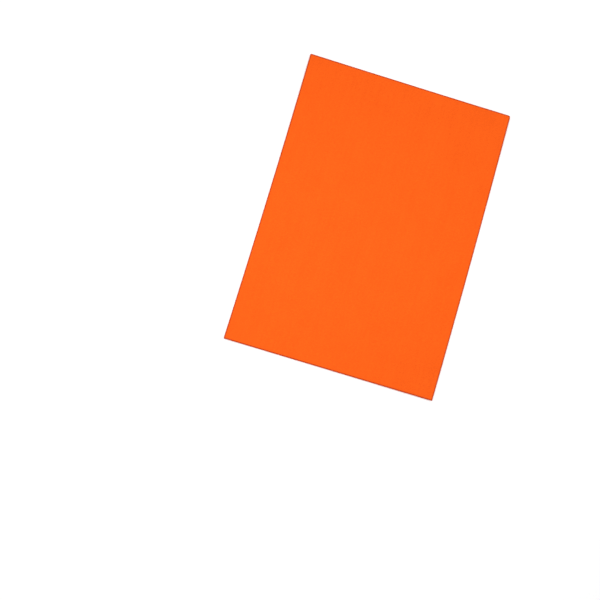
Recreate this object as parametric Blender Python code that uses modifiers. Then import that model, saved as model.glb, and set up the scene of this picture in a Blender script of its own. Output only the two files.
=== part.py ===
"""Craft foam sheet: one A4 sheet of closed-cell EVA foam, 2 mm thick, lying flat.

Metres, +Z up. The origin is the centre of the underside. X runs across the sheet, Y runs
along it, and the sheet lies on the plane z = 0.
"""

import math

import bpy

# Driving dimensions, in metres
SHEET_WIDTH = 0.210  # the short side of A4
SHEET_LENGTH = 0.297  # the long side of A4
SHEET_THICKNESS = 0.002  # the usual gauge of craft foam
CORNER_RADIUS = 0.0008  # in plan, where the soft corner gives way under the knife
RIM_RADIUS = 0.0003  # in section, where the knife presses the face down at the cut

# Flats on a quarter turn
CORNER_STEPS = 6
RIM_STEPS = 3

# The foam's finish, with its colour in linear values
FOAM_COLOUR = (0.93, 0.128, 0.010, 1.0)
FOAM_ROUGHNESS = 0.9

RIM_ANGLE = math.radians(60)  # a rim turns by 90 degrees, and a corner's flats by far less


def clear_scene():
    """Removes whatever objects the scene holds."""
    for leftover in list(bpy.data.objects):
        bpy.data.objects.remove(leftover)


def parts_collection():
    """Makes the collection that holds the object's parts."""
    parts = bpy.data.collections.new("craft_foam_sheet")
    bpy.context.scene.collection.children.link(parts)
    return parts


def foam_material():
    """Matte orange EVA foam, the same colour right through."""
    foam = bpy.data.materials.new("orange_eva_foam")
    foam.use_nodes = True
    shader = foam.node_tree.nodes["Principled BSDF"]
    shader.inputs["Base Color"].default_value = FOAM_COLOUR
    shader.inputs["Roughness"].default_value = FOAM_ROUGHNESS
    shader.inputs["Metallic"].default_value = 0.0
    return foam


def cut_blank(parts):
    """The sheet with square corners and square edges, resting on z = 0."""
    bpy.ops.mesh.primitive_cube_add(size=1.0, location=(0.0, 0.0, SHEET_THICKNESS / 2))
    sheet = bpy.context.object
    sheet.name = "foam_sheet"
    sheet.data.name = "foam_sheet"
    sheet.scale = (SHEET_WIDTH, SHEET_LENGTH, SHEET_THICKNESS)
    bpy.ops.object.transform_apply(location=False, rotation=False, scale=True)
    for holder in sheet.users_collection:
        holder.objects.unlink(sheet)
    parts.objects.link(sheet)
    return sheet


def round_corners(sheet):
    """Rounds the four upright edges, which are the sheet's corners in plan."""
    mesh = sheet.data
    weights = mesh.attributes.new("bevel_weight_edge", "FLOAT", "EDGE")
    for edge in mesh.edges:
        low, high = (mesh.vertices[i].co for i in edge.vertices)
        upright = low.x == high.x and low.y == high.y
        weights.data[edge.index].value = 1.0 if upright else 0.0
    corners = sheet.modifiers.new("corner_rounding", "BEVEL")
    corners.limit_method = "WEIGHT"
    corners.width = CORNER_RADIUS
    corners.segments = CORNER_STEPS


def round_rims(sheet):
    """Rounds both faces over into the cut edge, all the way round."""
    rims = sheet.modifiers.new("rim_rounding", "BEVEL")
    rims.limit_method = "ANGLE"
    rims.angle_limit = RIM_ANGLE
    rims.width = RIM_RADIUS
    rims.segments = RIM_STEPS
    rims.harden_normals = True


def main():
    clear_scene()
    sheet = cut_blank(parts_collection())
    sheet.data.materials.append(foam_material())
    sheet.data.shade_smooth()
    round_corners(sheet)
    round_rims(sheet)


main()
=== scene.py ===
"""The looks of a sheet of orange craft foam: A4, 2 mm of closed-cell EVA, lying flat on a pale floor.

Metres, +Z up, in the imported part's own frame: X runs across the sheet, Y along it, and the sheet
rests on z = 0. Its width, length and thickness are read from the part.
"""

import logging
import math
from dataclasses import dataclass, field
from enum import Enum

import bmesh
import bpy
from mathutils import Matrix, Vector, noise


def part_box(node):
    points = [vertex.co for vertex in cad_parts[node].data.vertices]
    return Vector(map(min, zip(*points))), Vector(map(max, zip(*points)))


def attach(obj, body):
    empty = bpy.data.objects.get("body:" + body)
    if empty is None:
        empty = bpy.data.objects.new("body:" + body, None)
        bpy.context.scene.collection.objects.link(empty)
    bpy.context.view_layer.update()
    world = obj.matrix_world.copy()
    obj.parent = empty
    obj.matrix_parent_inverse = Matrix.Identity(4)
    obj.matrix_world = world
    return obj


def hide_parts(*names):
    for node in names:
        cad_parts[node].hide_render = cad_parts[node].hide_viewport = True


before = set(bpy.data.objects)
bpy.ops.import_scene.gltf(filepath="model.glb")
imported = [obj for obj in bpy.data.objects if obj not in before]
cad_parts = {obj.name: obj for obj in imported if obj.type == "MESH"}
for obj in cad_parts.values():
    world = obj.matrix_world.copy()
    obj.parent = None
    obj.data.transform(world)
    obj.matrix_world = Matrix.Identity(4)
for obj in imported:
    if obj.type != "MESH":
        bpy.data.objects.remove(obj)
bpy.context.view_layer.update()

log = logging.getLogger("craft_foam_sheet")

MM = 0.001
BODY = "root"
NODE = "foam_sheet"

# A Mix node has sockets for each kind of thing that it mixes, and these are the ones for colours
MIX_SHARE, MIX_UNDER, MIX_OVER, MIX_RESULT = 0, 6, 7, 2

Colour = tuple[float, float, float, float]
Tree = bpy.types.NodeTree
Socket = bpy.types.NodeSocket
Inputs = dict[int | str, Socket | float | tuple[float, ...]]


def linear(hex_colour: str) -> Colour:
    """Turns an sRGB hex colour to the linear values that a shader takes.

    Args:
        hex_colour: Six hex digits after a #.

    Returns:
        Linear red, green and blue, and an alpha of 1.
    """
    shares = [int(hex_colour[at:at + 2], 16) / 255 for at in (1, 3, 5)]
    red, green, blue = (
        share / 12.92 if share <= 0.04045 else ((share + 0.055) / 1.055) ** 2.4 for share in shares
    )
    return red, green, blue, 1.0


def add_node(
    tree: Tree, kind: str, inputs: Inputs | None = None, **settings: str | bool
) -> bpy.types.Node:
    """Adds a node with its settings and its links.

    Args:
        tree: The tree that gets the node.
        kind: The node's type in Blender.
        inputs: What each input takes, by name or number: a value, or an output to link it to.
        **settings: The node's own properties.

    Returns:
        The new node.
    """
    node = tree.nodes.new(kind)
    for name, value in settings.items():
        setattr(node, name, value)
    for key, value in (inputs or {}).items():
        if isinstance(value, Socket):
            tree.links.new(value, node.inputs[key])
        else:
            node.inputs[key].default_value = value
    return node


class Corner(Enum):
    """A corner of the sheet in plan, as the signs of its x and its y."""

    FOOT_LEFT = (-1, -1)
    FOOT_RIGHT = (1, -1)
    HEAD_RIGHT = (1, 1)
    HEAD_LEFT = (-1, 1)


class Mark(Enum):
    """What the mesh marks on its surface, by the name of the attribute that holds it: where it is cut,
    and where painted shade runs along its rims.
    """

    CUT_EDGE = "cut_edge"
    # The dark line of painted shade along each rim
    RIM_SHADE = "crushed"


class Pattern(Enum):
    """What a grain looks like, by the texture that draws it."""

    # Soft patches, round a middle value of 0.5
    CLOUDED = "ShaderNodeTexNoise"
    # Cells, low in the middle of each and high on the walls between them
    CELLED = "ShaderNodeTexVoronoi"


@dataclass(frozen=True)
class Grain:
    """A pattern in the foam, by the size of the thing that makes it.

    Args:
        pattern: What it looks like.
        size: How far apart its features lie across, along and up the sheet, in metres.
        weight: How far it changes the foam's tone, where 1 is from one tone all the way to the next.
        depth: How deep it lies in the surface, in metres.
        detail: How many finer layers it has.
    """

    pattern: Pattern
    size: tuple[float, float, float]
    weight: float = 1.0
    depth: float = 0.0
    detail: float = 0.0

    def draw(self, tree: Tree, place: Socket) -> Socket:
        """Draws the grain.

        Args:
            tree: The material's nodes.
            place: Where on the sheet it is read.

        Returns:
            The grain's value there.
        """
        scale = tuple(1 / size for size in self.size)
        there = add_node(tree, "ShaderNodeMapping", {"Vector": place, "Scale": scale})
        inputs: Inputs = {"Vector": there.outputs[0], "Scale": 1.0, "Detail": self.detail}
        return add_node(tree, self.pattern.value, inputs).outputs[0]


# Where a material's tree gives the value of each grain and each mark
Drawn = dict[Grain | Mark, Socket]


@dataclass(frozen=True)
class CraftFoam:
    """Orange EVA foam, skived from a block and cut to size under a guillotine.

    EVA is a soft polymer blown into closed cells, with its pigment all through it. The skiving
    knife opens the outermost cells, so the faces are matt and even, with hardly any gloss: a fine
    grain, faint lines along the knife's way, soft clouds where the cells are larger or smaller,
    and here and there the dimple of a larger bubble, with painted shade in its middle. The
    guillotine opens the cells that it passes, so the cut edge is a deeper orange, partly of its own
    and partly painted shade of the open cells, with pores that hold painted shade. A thin, dark,
    redder line of painted shade runs round each face, along the rim that the knife presses over.
    """

    light_tone: str = "#F05D13"
    deep_tone: str = "#DF520D"
    # The cut's tone: a deeper orange of its own, and partly painted shade of its open cells
    cut_tone: str = "#DC500E"
    # Painted shade in the middles of the cut's pores and of the dimples
    pit_shade_tone: str = "#BC3F0A"
    # A dark, redder line of painted shade along each rim
    rim_shade_tone: str = "#B2380A"
    ior: float = 1.48
    # The open cells swallow most of what a solid sheet of EVA would reflect
    specular_level: float = 0.1
    roughness: float = 0.85
    roughness_change: float = 0.12
    # The cells grow a little larger here and smaller there, over a thumb's width
    clouds: Grain = Grain(Pattern.CLOUDED, (26 * MM, 26 * MM, 26 * MM), weight=0.5, detail=2.0)
    # The skiving knife ran along the sheet, and its nicks are a few millimetres apart
    skive_lines: Grain = Grain(
        Pattern.CLOUDED, (3.2 * MM, 90 * MM, 20 * MM), weight=0.45, depth=0.012 * MM, detail=3.0
    )
    # The cells are about 0.15 mm across, and are drawn larger, at two sizes that show
    cells: Grain = Grain(
        Pattern.CELLED, (1.6 * MM, 1.6 * MM, 1.6 * MM), weight=0.55, depth=0.06 * MM
    )
    fine_cells: Grain = Grain(
        Pattern.CELLED, (0.5 * MM, 0.5 * MM, 0.5 * MM), weight=1.3, depth=0.03 * MM
    )
    # The pores of the cut are 0.2 mm, and are drawn at about twice that, with painted shade in their
    # middles
    pores: Grain = Grain(Pattern.CELLED, (0.45 * MM, 0.45 * MM, 0.45 * MM), depth=0.12 * MM)
    # Stray larger bubbles, all through the foam: a knife that passes one leaves a dimple, with painted
    # shade in its middle
    bubbles: Grain = Grain(Pattern.CELLED, (5 * MM, 5 * MM, 5 * MM), weight=0.5, depth=0.15 * MM)
    bubble_radius: float = 0.4 * MM

    def material(self) -> bpy.types.Material:
        """Makes the foam's material.

        Returns:
            A material that reads Object coordinates and the mesh's marks.
        """
        foam = bpy.data.materials.new("orange_eva_foam")
        foam.use_nodes = True
        tree = foam.node_tree
        shader = tree.nodes["Principled BSDF"]
        drawn = self.draw(tree)
        tree.links.new(self.colour(tree, drawn), shader.inputs["Base Color"])
        tree.links.new(self.surface_roughness(tree, drawn), shader.inputs["Roughness"])
        tree.links.new(self.relief(tree, drawn), shader.inputs["Normal"])
        shader.inputs["Metallic"].default_value = 0.0
        shader.inputs["IOR"].default_value = self.ior
        shader.inputs["Specular IOR Level"].default_value = self.specular_level
        return foam

    def draw(self, tree: Tree) -> Drawn:
        """Draws the grains, and reads where the foam is cut and where the rims' painted shade lies.

        Args:
            tree: The material's nodes.

        Returns:
            The value of each grain and each mark. The bubbles' is 1 in the middle of a dimple and
            0 outside it.
        """
        place = add_node(tree, "ShaderNodeTexCoord").outputs["Object"]
        grains = (self.clouds, self.skive_lines, self.cells, self.fine_cells, self.pores, self.bubbles)
        drawn: Drawn = {grain: grain.draw(tree, place) for grain in grains}
        for mark in Mark:
            drawn[mark] = add_node(tree, "ShaderNodeAttribute", attribute_name=mark.value).outputs["Fac"]
        # A mark eases in and out, and so does a bubble, which is a ball in the middle of its cell
        radius = self.bubble_radius / self.bubbles.size[0]
        ramps = {Mark.CUT_EDGE: (0.0, 1.0), Mark.RIM_SHADE: (0.0, 1.0), self.bubbles: (radius, 0.0)}
        for key, (starts, ends) in ramps.items():
            inputs: Inputs = {"Value": drawn[key], "From Min": starts, "From Max": ends}
            drawn[key] = add_node(
                tree, "ShaderNodeMapRange", inputs, interpolation_type="SMOOTHSTEP"
            ).outputs[0]
        return drawn

    def face_tone(self, tree: Tree, drawn: Drawn) -> Socket:
        """Adds up what the grains do to the face's tone.

        Args:
            tree: The material's nodes.
            drawn: The grains.

        Returns:
            A share of the way from the deep tone to the light one, round 0.5.
        """
        # Halfway between the two tones, and about the middle of each grain's values
        middle = 0.5
        tone: Socket | float = middle
        for grain in (self.clouds, self.skive_lines, self.cells, self.fine_cells):
            centred = add_node(
                tree, "ShaderNodeMath", {0: drawn[grain], 1: middle}, operation="SUBTRACT"
            ).outputs[0]
            tone = add_node(
                tree, "ShaderNodeMath", {0: centred, 1: grain.weight, 2: tone}, operation="MULTIPLY_ADD"
            ).outputs[0]
        return tone

    def colour(self, tree: Tree, drawn: Drawn) -> Socket:
        """Lays the foam's tones over one another: the face, the cut with its painted pore shade, and the
        painted shade in the dimples and along the rims.

        Args:
            tree: The material's nodes.
            drawn: The grains and the marks.

        Returns:
            The foam's colour.
        """
        # The cut, with painted shade in the middle of each pore
        cut_with_pore_shade = add_node(
            tree,
            "ShaderNodeMix",
            {
                MIX_SHARE: drawn[self.pores],
                MIX_UNDER: linear(self.pit_shade_tone),
                MIX_OVER: linear(self.cut_tone),
            },
            data_type="RGBA",
        ).outputs[MIX_RESULT]
        # Painted shade in the middle of each dimple
        dimple_shade = add_node(
            tree,
            "ShaderNodeMath",
            {0: drawn[self.bubbles], 1: self.bubbles.weight},
            operation="MULTIPLY",
        ).outputs[0]
        colour: Socket | Colour = linear(self.deep_tone)
        for share, tone in (
            (self.face_tone(tree, drawn), linear(self.light_tone)),
            (drawn[Mark.CUT_EDGE], cut_with_pore_shade),
            (dimple_shade, linear(self.pit_shade_tone)),
            # The dark line of painted shade along the rims
            (drawn[Mark.RIM_SHADE], linear(self.rim_shade_tone)),
        ):
            inputs: Inputs = {MIX_SHARE: share, MIX_UNDER: colour, MIX_OVER: tone}
            colour = add_node(tree, "ShaderNodeMix", inputs, data_type="RGBA").outputs[MIX_RESULT]
        return colour

    def surface_roughness(self, tree: Tree, drawn: Drawn) -> Socket:
        """Makes the walls between the cells a little rougher than their bowls.

        Args:
            tree: The material's nodes.
            drawn: The grains.

        Returns:
            The foam's roughness.
        """
        inputs: Inputs = {
            0: drawn[self.cells],
            1: self.roughness_change,
            2: self.roughness - self.roughness_change / 2,
        }
        return add_node(tree, "ShaderNodeMath", inputs, operation="MULTIPLY_ADD").outputs[0]

    def relief(self, tree: Tree, drawn: Drawn) -> Socket:
        """Sinks the grains into the surface, one after the other.

        Args:
            tree: The material's nodes.
            drawn: The grains and the marks.

        Returns:
            The surface's normal.
        """
        lines: Inputs = {"Height": drawn[self.skive_lines], "Distance": self.skive_lines.depth}
        normal = add_node(tree, "ShaderNodeBump", lines).outputs["Normal"]
        # The pores sink only where the foam is cut. A bubble sinks where its value is high, and the
        # other grains where theirs is low.
        for grain, strength, sinks in (
            (self.cells, 1.0, False),
            (self.fine_cells, 1.0, False),
            (self.pores, drawn[Mark.CUT_EDGE], False),
            (self.bubbles, 1.0, True),
        ):
            inputs: Inputs = {
                "Height": drawn[grain], "Distance": grain.depth, "Strength": strength, "Normal": normal
            }
            normal = add_node(tree, "ShaderNodeBump", inputs, invert=sinks).outputs["Normal"]
        return normal


@dataclass(frozen=True)
class WhiteCard:
    """Matt white card, uncoated and brightened, so that it shows as white as the sky over it."""

    tone: str = "#FFFFFF"
    roughness: float = 0.95
    specular_level: float = 0.1

    def material(self) -> bpy.types.Material:
        """Makes the card's material.

        Returns:
            An even, matt material, because nothing of the card shows but its white.
        """
        card = bpy.data.materials.new("matt_white_card")
        card.use_nodes = True
        shader = card.node_tree.nodes["Principled BSDF"]
        shader.inputs["Base Color"].default_value = linear(self.tone)
        shader.inputs["Roughness"].default_value = self.roughness
        shader.inputs["Specular IOR Level"].default_value = self.specular_level
        return card


@dataclass
class FoamSheet:
    """The sheet: a skived blank, cut square, that lies on its underside.

    Args:
        low: The lowest corner of the part's box.
        high: The highest corner of the part's box.
        finish: What the sheet is made of.
    """

    low: Vector
    high: Vector
    finish: CraftFoam = field(default_factory=CraftFoam)

    # The part's own roundings: in plan, and in section where the knife presses each face over
    corner_radius: float = 0.8 * MM
    corner_steps: int = 6
    rim_radius: float = 0.3 * MM
    rim_steps: int = 4
    # How far in from a rim the knife's pressure and the rims' painted shade reach, how far the knife
    # sinks the top face at the rim, and how far up or down the cut the painted shade reaches
    margin: float = 1.5 * MM
    margin_dip: float = 0.05 * MM
    rim_shade_depth: float = 0.35 * MM

    # The mesh: squares over the faces, and finer columns and rows on the cut
    pitch: float = 3.0 * MM
    columns: int = 6
    rows: int = 5

    # The cut edge draws in halfway up, because the foam bulges under the guillotine's clamp
    waist: float = 0.12 * MM
    # The knife tears cells open as it goes, which leaves pits, and flutes from face to face
    pit_size: float = 0.7 * MM
    pit_depth: float = 0.035 * MM
    flute_size: float = 1.6 * MM
    flute_depth: float = 0.025 * MM

    # The knife drifts as it crosses the clamped foam, so both long sides curve the same way
    bow: float = 0.75 * MM
    # One corner has been knocked blunt
    knocked: Corner = Corner.HEAD_RIGHT
    knock_depth: float = 0.7 * MM
    knock_reach: float = 4 * MM

    # How far each corner stands off the floor, and how far in from the corner that starts
    corner_lift: dict[Corner, float] = field(
        default_factory=lambda: {
            Corner.HEAD_RIGHT: 0.7 * MM,
            Corner.HEAD_LEFT: 0.3 * MM,
            Corner.FOOT_LEFT: 0.5 * MM,
            Corner.FOOT_RIGHT: 0.2 * MM,
        }
    )
    lift_reach: float = 75 * MM
    # The top face isn't quite even, and the underside keeps to the floor between the lifted corners
    unevenness: float = 0.05 * MM
    unevenness_size: float = 24 * MM

    def build(self) -> bpy.types.Object:
        """Models the sheet and dresses it.

        Returns:
            The sheet, at the origin, with its place in its mesh.
        """
        sheet = bmesh.new()
        self.cut_blank(sheet)
        self.round_corners(sheet)
        self.round_rims(sheet)
        self.rule_faces(sheet)
        self.rule_cut(sheet)
        self.mark_cut(sheet)
        self.shape_cut(sheet)
        self.curve_sides(sheet)
        self.knock_corner(sheet)
        self.relax(sheet)
        self.settle_order(sheet)
        for face in sheet.faces:
            face.smooth = True
        mesh = bpy.data.meshes.new("craft_foam_sheet")
        sheet.to_mesh(mesh)
        sheet.free()
        piece = bpy.data.objects.new("craft_foam_sheet", mesh)
        bpy.context.scene.collection.objects.link(piece)
        mesh.materials.append(self.finish.material())
        return piece

    def declare(self, piece: bpy.types.Object) -> None:
        """Puts the piece on the body that it rides on, and hides the part that it stands for.

        Args:
            piece: The finished sheet.
        """
        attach(piece, BODY)
        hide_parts(NODE)

    def cut_blank(self, sheet: bmesh.types.BMesh) -> None:
        """Makes the plain blank, with square edges and corners.

        Args:
            sheet: An empty mesh.
        """
        size = self.high - self.low
        middle = (self.high + self.low) / 2
        made = bmesh.ops.create_cube(sheet, size=1.0)
        bmesh.ops.scale(sheet, vec=size, verts=made["verts"])
        bmesh.ops.translate(sheet, vec=middle, verts=made["verts"])

    def round_corners(self, sheet: bmesh.types.BMesh) -> None:
        """Rounds the four upright edges, which are the corners in plan.

        Args:
            sheet: The blank.
        """
        upright = [edge for edge in sheet.edges if edge.verts[0].co.xy == edge.verts[1].co.xy]
        bmesh.ops.bevel(
            sheet,
            geom=upright,
            offset=self.corner_radius,
            segments=self.corner_steps,
            profile=0.5,
            affect="EDGES",
            material=-1,
        )

    def round_rims(self, sheet: bmesh.types.BMesh) -> None:
        """Rounds each face over into the cut edge.

        Args:
            sheet: The blank, with its corners rounded.
        """
        rims = [edge for edge in sheet.edges if edge.verts[0].co.z == edge.verts[1].co.z]
        bmesh.ops.bevel(
            sheet,
            geom=rims,
            offset=self.rim_radius,
            segments=self.rim_steps,
            profile=0.5,
            affect="EDGES",
            material=-1,
        )

    def margin_lines(self) -> tuple[float, float]:
        """How far in from a side the two ruled lines of its margin lie."""
        return self.rim_radius + self.margin / 2, self.rim_radius + self.margin

    def cuts(self, low: float, high: float) -> list[float]:
        """Where the ruled lines cross one side of the sheet.

        Args:
            low: Where the side starts.
            high: Where the side ends.

        Returns:
            Two lines in the margin at each end, and even places between them.
        """
        first, second = self.margin_lines()
        start, span = low + second, high - low - 2 * second
        count = round(span / self.pitch)
        even = [start + span * at / count for at in range(count + 1)]
        return [low + first, *even, high - first]

    def rule_faces(self, sheet: bmesh.types.BMesh) -> None:
        """Cuts the whole sheet into squares in plan, with a narrow margin all round.

        Args:
            sheet: The rounded sheet.
        """
        for axis, normal in enumerate((Vector((1, 0, 0)), Vector((0, 1, 0)))):
            for at in self.cuts(self.low[axis], self.high[axis]):
                geom = [*sheet.verts, *sheet.edges, *sheet.faces]
                bmesh.ops.bisect_plane(sheet, geom=geom, plane_co=normal * at, plane_no=normal)

    def inset_of(self, point: Vector) -> float:
        """How far in from the nearest side a point lies, in plan."""
        return min(
            point.x - self.low.x, self.high.x - point.x, point.y - self.low.y, self.high.y - point.y
        )

    def rule_cut(self, sheet: bmesh.types.BMesh) -> None:
        """Divides the cut edge into rows, and the squares along it into columns.

        Args:
            sheet: The ruled sheet.
        """
        # The most that an upright face's normal may lean up or down
        lean = 0.01
        tall = self.high.z - self.low.z - 2 * self.rim_radius
        for row in range(1, self.rows):
            height = self.low.z + self.rim_radius + tall * row / self.rows
            wall = [face for face in sheet.faces if abs(face.normal.z) < lean]
            edges = {edge for face in wall for edge in face.edges}
            verts = {vert for face in wall for vert in face.verts}
            bmesh.ops.bisect_plane(
                sheet, geom=[*verts, *edges, *wall], plane_co=(0, 0, height), plane_no=(0, 0, 1)
            )
        # Halfway between the margin's lines, so that the first one is divided too
        reach = sum(self.margin_lines()) / 2
        # Half a square, which is more than any edge that crosses the margin or stands on the cut
        long = self.pitch / 2
        along = [
            edge
            for edge in sheet.edges
            if edge.calc_length() > long and all(self.inset_of(vert.co) < reach for vert in edge.verts)
        ]
        bmesh.ops.subdivide_edges(
            sheet,
            edges=along,
            cuts=self.columns - 1,
            use_grid_fill=True,
            use_single_edge=True,
        )

    def mark_cut(self, sheet: bmesh.types.BMesh) -> None:
        """Writes where the foam is cut open and where the rims' painted shade lies, and dips the top's
        margin.

        Args:
            sheet: The ruled sheet.
        """
        cut_edge = sheet.verts.layers.float.new(Mark.CUT_EDGE.value)
        crushed = sheet.verts.layers.float.new(Mark.RIM_SHADE.value)
        middle = (self.high.z + self.low.z) / 2
        for vert in sheet.verts:
            depth = min(vert.co.z - self.low.z, self.high.z - vert.co.z)
            past = (self.inset_of(vert.co) - self.rim_radius) / self.margin
            under = (depth - self.rim_radius) / self.rim_shade_depth
            near_rim = 1 - min(max(past, 0.0), 1.0)
            vert[cut_edge] = min(depth / self.rim_radius, 1.0)
            # A dark band of painted shade along each rim, fading out over the margin and a little way up
            # or down the cut
            vert[crushed] = near_rim * (1 - min(max(under, 0.0), 1.0))
            if vert.co.z > middle:
                vert.co.z -= self.margin_dip * near_rim * near_rim

    def shape_cut(self, sheet: bmesh.types.BMesh) -> None:
        """Draws the cut edge in at its waist, and gives it its pits and flutes.

        Args:
            sheet: The ruled sheet.
        """
        sheet.normal_update()
        middle = (self.high.z + self.low.z) / 2
        half = (self.high.z - self.low.z) / 2
        for vert in sheet.verts:
            if self.inset_of(vert.co) < self.rim_radius:
                outward = Vector((vert.normal.x, vert.normal.y, 0))
                share = max(0.0, 1 - ((vert.co.z - middle) / half) ** 2)
                pit = noise.noise(vert.co / self.pit_size) * self.pit_depth
                level = Vector((vert.co.x, vert.co.y, 0)) / self.flute_size
                flute = noise.noise(level) * self.flute_depth
                vert.co += outward * (pit + flute - self.waist) * share

    def curve_sides(self, sheet: bmesh.types.BMesh) -> None:
        """Curves both long sides towards +X at their middle, and keeps the sheet centred.

        Args:
            sheet: The straight sheet.
        """
        # The mean of the curve over the sheet's length, where y runs from -1 to 1
        mean = 1 / 3
        for vert in sheet.verts:
            along = vert.co.y / self.high.y
            vert.co.x += self.bow * (mean - along * along)

    def nearness(self, point: Vector, corner: Corner, reach: float) -> float:
        """How near a point is to a corner in plan.

        Args:
            point: The point.
            corner: The corner.
            reach: How far from the corner the answer falls to 0.

        Returns:
            A share that is 1 at the corner and eases out to 0.
        """
        side_x, side_y = corner.value
        tip = Vector((self.high.x * side_x, self.high.y * side_y))
        return max(0.0, 1 - (point.xy - tip).length / reach) ** 2

    def knock_corner(self, sheet: bmesh.types.BMesh) -> None:
        """Pushes the knocked corner back along its diagonal.

        Args:
            sheet: The curved sheet.
        """
        inward = -Vector((*self.knocked.value, 0)).normalized()
        for vert in sheet.verts:
            near = self.nearness(vert.co, self.knocked, self.knock_reach)
            vert.co += inward * self.knock_depth * near

    def relax(self, sheet: bmesh.types.BMesh) -> None:
        """Lifts the corners a little, and makes the top face slightly uneven.

        Args:
            sheet: The finished outline.
        """
        thickness = self.high.z - self.low.z
        for vert in sheet.verts:
            x, y, z = vert.co
            wave = noise.noise(Vector((x, y, 0)) / self.unevenness_size) * self.unevenness
            # None of the wave at the underside, and all of it at the top face
            rise = wave * (z - self.low.z) / thickness
            for corner, lift in self.corner_lift.items():
                rise += lift * self.nearness(vert.co, corner, self.lift_reach)
            vert.co.z += rise

    def settle_order(self, sheet: bmesh.types.BMesh) -> None:
        """Puts the vertices, edges and faces in order of place, which is the same in every run.

        The rounded rims and the ruled lines leave them in an order that differs from run to run.

        Args:
            sheet: The finished sheet.
        """
        for parts, place in (
            (sheet.verts, lambda vert: vert.co[:]),
            (sheet.edges, lambda edge: sorted(vert.co[:] for vert in edge.verts)),
            (sheet.faces, lambda face: sorted(vert.co[:] for vert in face.verts)),
        ):
            ranks = {part: rank for rank, part in enumerate(sorted(parts, key=place))}
            parts.sort(key=ranks.get)


@dataclass(frozen=True)
class SoftLight:
    """A long soft box.

    Args:
        name: The light's name.
        place: Where it hangs.
        sides: How long and how wide it is.
        turn: How far its length is turned from X towards Y, in degrees.
        power: Its power in watts.
    """

    name: str
    place: tuple[float, float, float]
    sides: tuple[float, float]
    turn: float
    power: float

    def hang(self) -> None:
        """Hangs the light, facing straight down."""
        lamp = bpy.data.lights.new(self.name, "AREA")
        lamp.shape = "RECTANGLE"
        lamp.size, lamp.size_y = self.sides
        lamp.energy = self.power
        holder = bpy.data.objects.new(self.name, lamp)
        holder.location = self.place
        holder.rotation_euler.z = math.radians(self.turn)
        holder.visible_camera = False
        bpy.context.scene.collection.objects.link(holder)


@dataclass(frozen=True)
class Studio:
    """A pale floor under even white light, with one long soft box over the sheet's left side."""

    floor_side: float = 12.0
    sky: str = "#FFFFFF"
    sky_strength: float = 0.88
    key: SoftLight = SoftLight(
        "key_light", place=(-0.10, -0.055, 0.40), sides=(0.6, 0.12), turn=27.0, power=1.05
    )
    card: WhiteCard = WhiteCard()

    def build(self) -> None:
        """Lays the floor, sets the lights and shows their colours as they are."""
        self.lay_floor()
        self.light_sky()
        self.key.hang()
        bpy.context.scene.view_settings.view_transform = "Standard"

    def lay_floor(self) -> None:
        """Lays a floor of white card under the sheet, out past every view."""
        plate = bmesh.new()
        bmesh.ops.create_grid(plate, x_segments=1, y_segments=1, size=self.floor_side / 2)
        mesh = bpy.data.meshes.new("floor")
        plate.to_mesh(mesh)
        plate.free()
        floor = bpy.data.objects.new("floor", mesh)
        bpy.context.scene.collection.objects.link(floor)
        mesh.materials.append(self.card.material())

    def light_sky(self) -> None:
        """Lights the sheet evenly from all round."""
        world = bpy.data.worlds.new("studio_sky")
        world.use_nodes = True
        background = world.node_tree.nodes["Background"]
        background.inputs["Color"].default_value = linear(self.sky)
        background.inputs["Strength"].default_value = self.sky_strength
        bpy.context.scene.world = world


@dataclass(frozen=True)
class OverheadCamera:
    """The camera, nearly straight above the sheet and turned against it.

    Args:
        eye: Where the camera is.
        aim: The point on the floor that it looks at.
        roll: How far it is turned about its own axis, in degrees.
        lens: Its focal length in millimetres.
        sensor: How wide the picture is on its sensor, in millimetres.
    """

    eye: tuple[float, float, float] = (-0.0867, -0.2260, 0.9914)
    aim: tuple[float, float, float] = (-0.0456, -0.0914, 0.0)
    roll: float = 16.54
    lens: float = 62.0
    sensor: float = 36.0

    def build(self) -> None:
        """Makes the camera and gives it to the scene."""
        data = bpy.data.cameras.new("camera")
        data.lens = self.lens
        data.sensor_width = self.sensor
        camera = bpy.data.objects.new("camera", data)
        back = (Vector(self.eye) - Vector(self.aim)).normalized()
        level = Vector((0, 1, 0)).cross(back).normalized()
        upright = back.cross(level)
        turn = Matrix((level, upright, back)).transposed().to_4x4()
        roll = Matrix.Rotation(math.radians(self.roll), 4, "Z")
        camera.matrix_world = Matrix.Translation(self.eye) @ turn @ roll
        bpy.context.scene.collection.objects.link(camera)
        bpy.context.scene.camera = camera


def main() -> None:
    """Builds the camera, the studio and the sheet, and logs how many faces the sheet has."""
    logging.basicConfig(level=logging.INFO, format="%(name)s: %(message)s")
    OverheadCamera().build()
    Studio().build()
    sheet = FoamSheet(*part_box(NODE))
    piece = sheet.build()
    sheet.declare(piece)
    log.info("%s has %d faces", piece.name, len(piece.data.polygons))


if __name__ == "__main__":
    main()
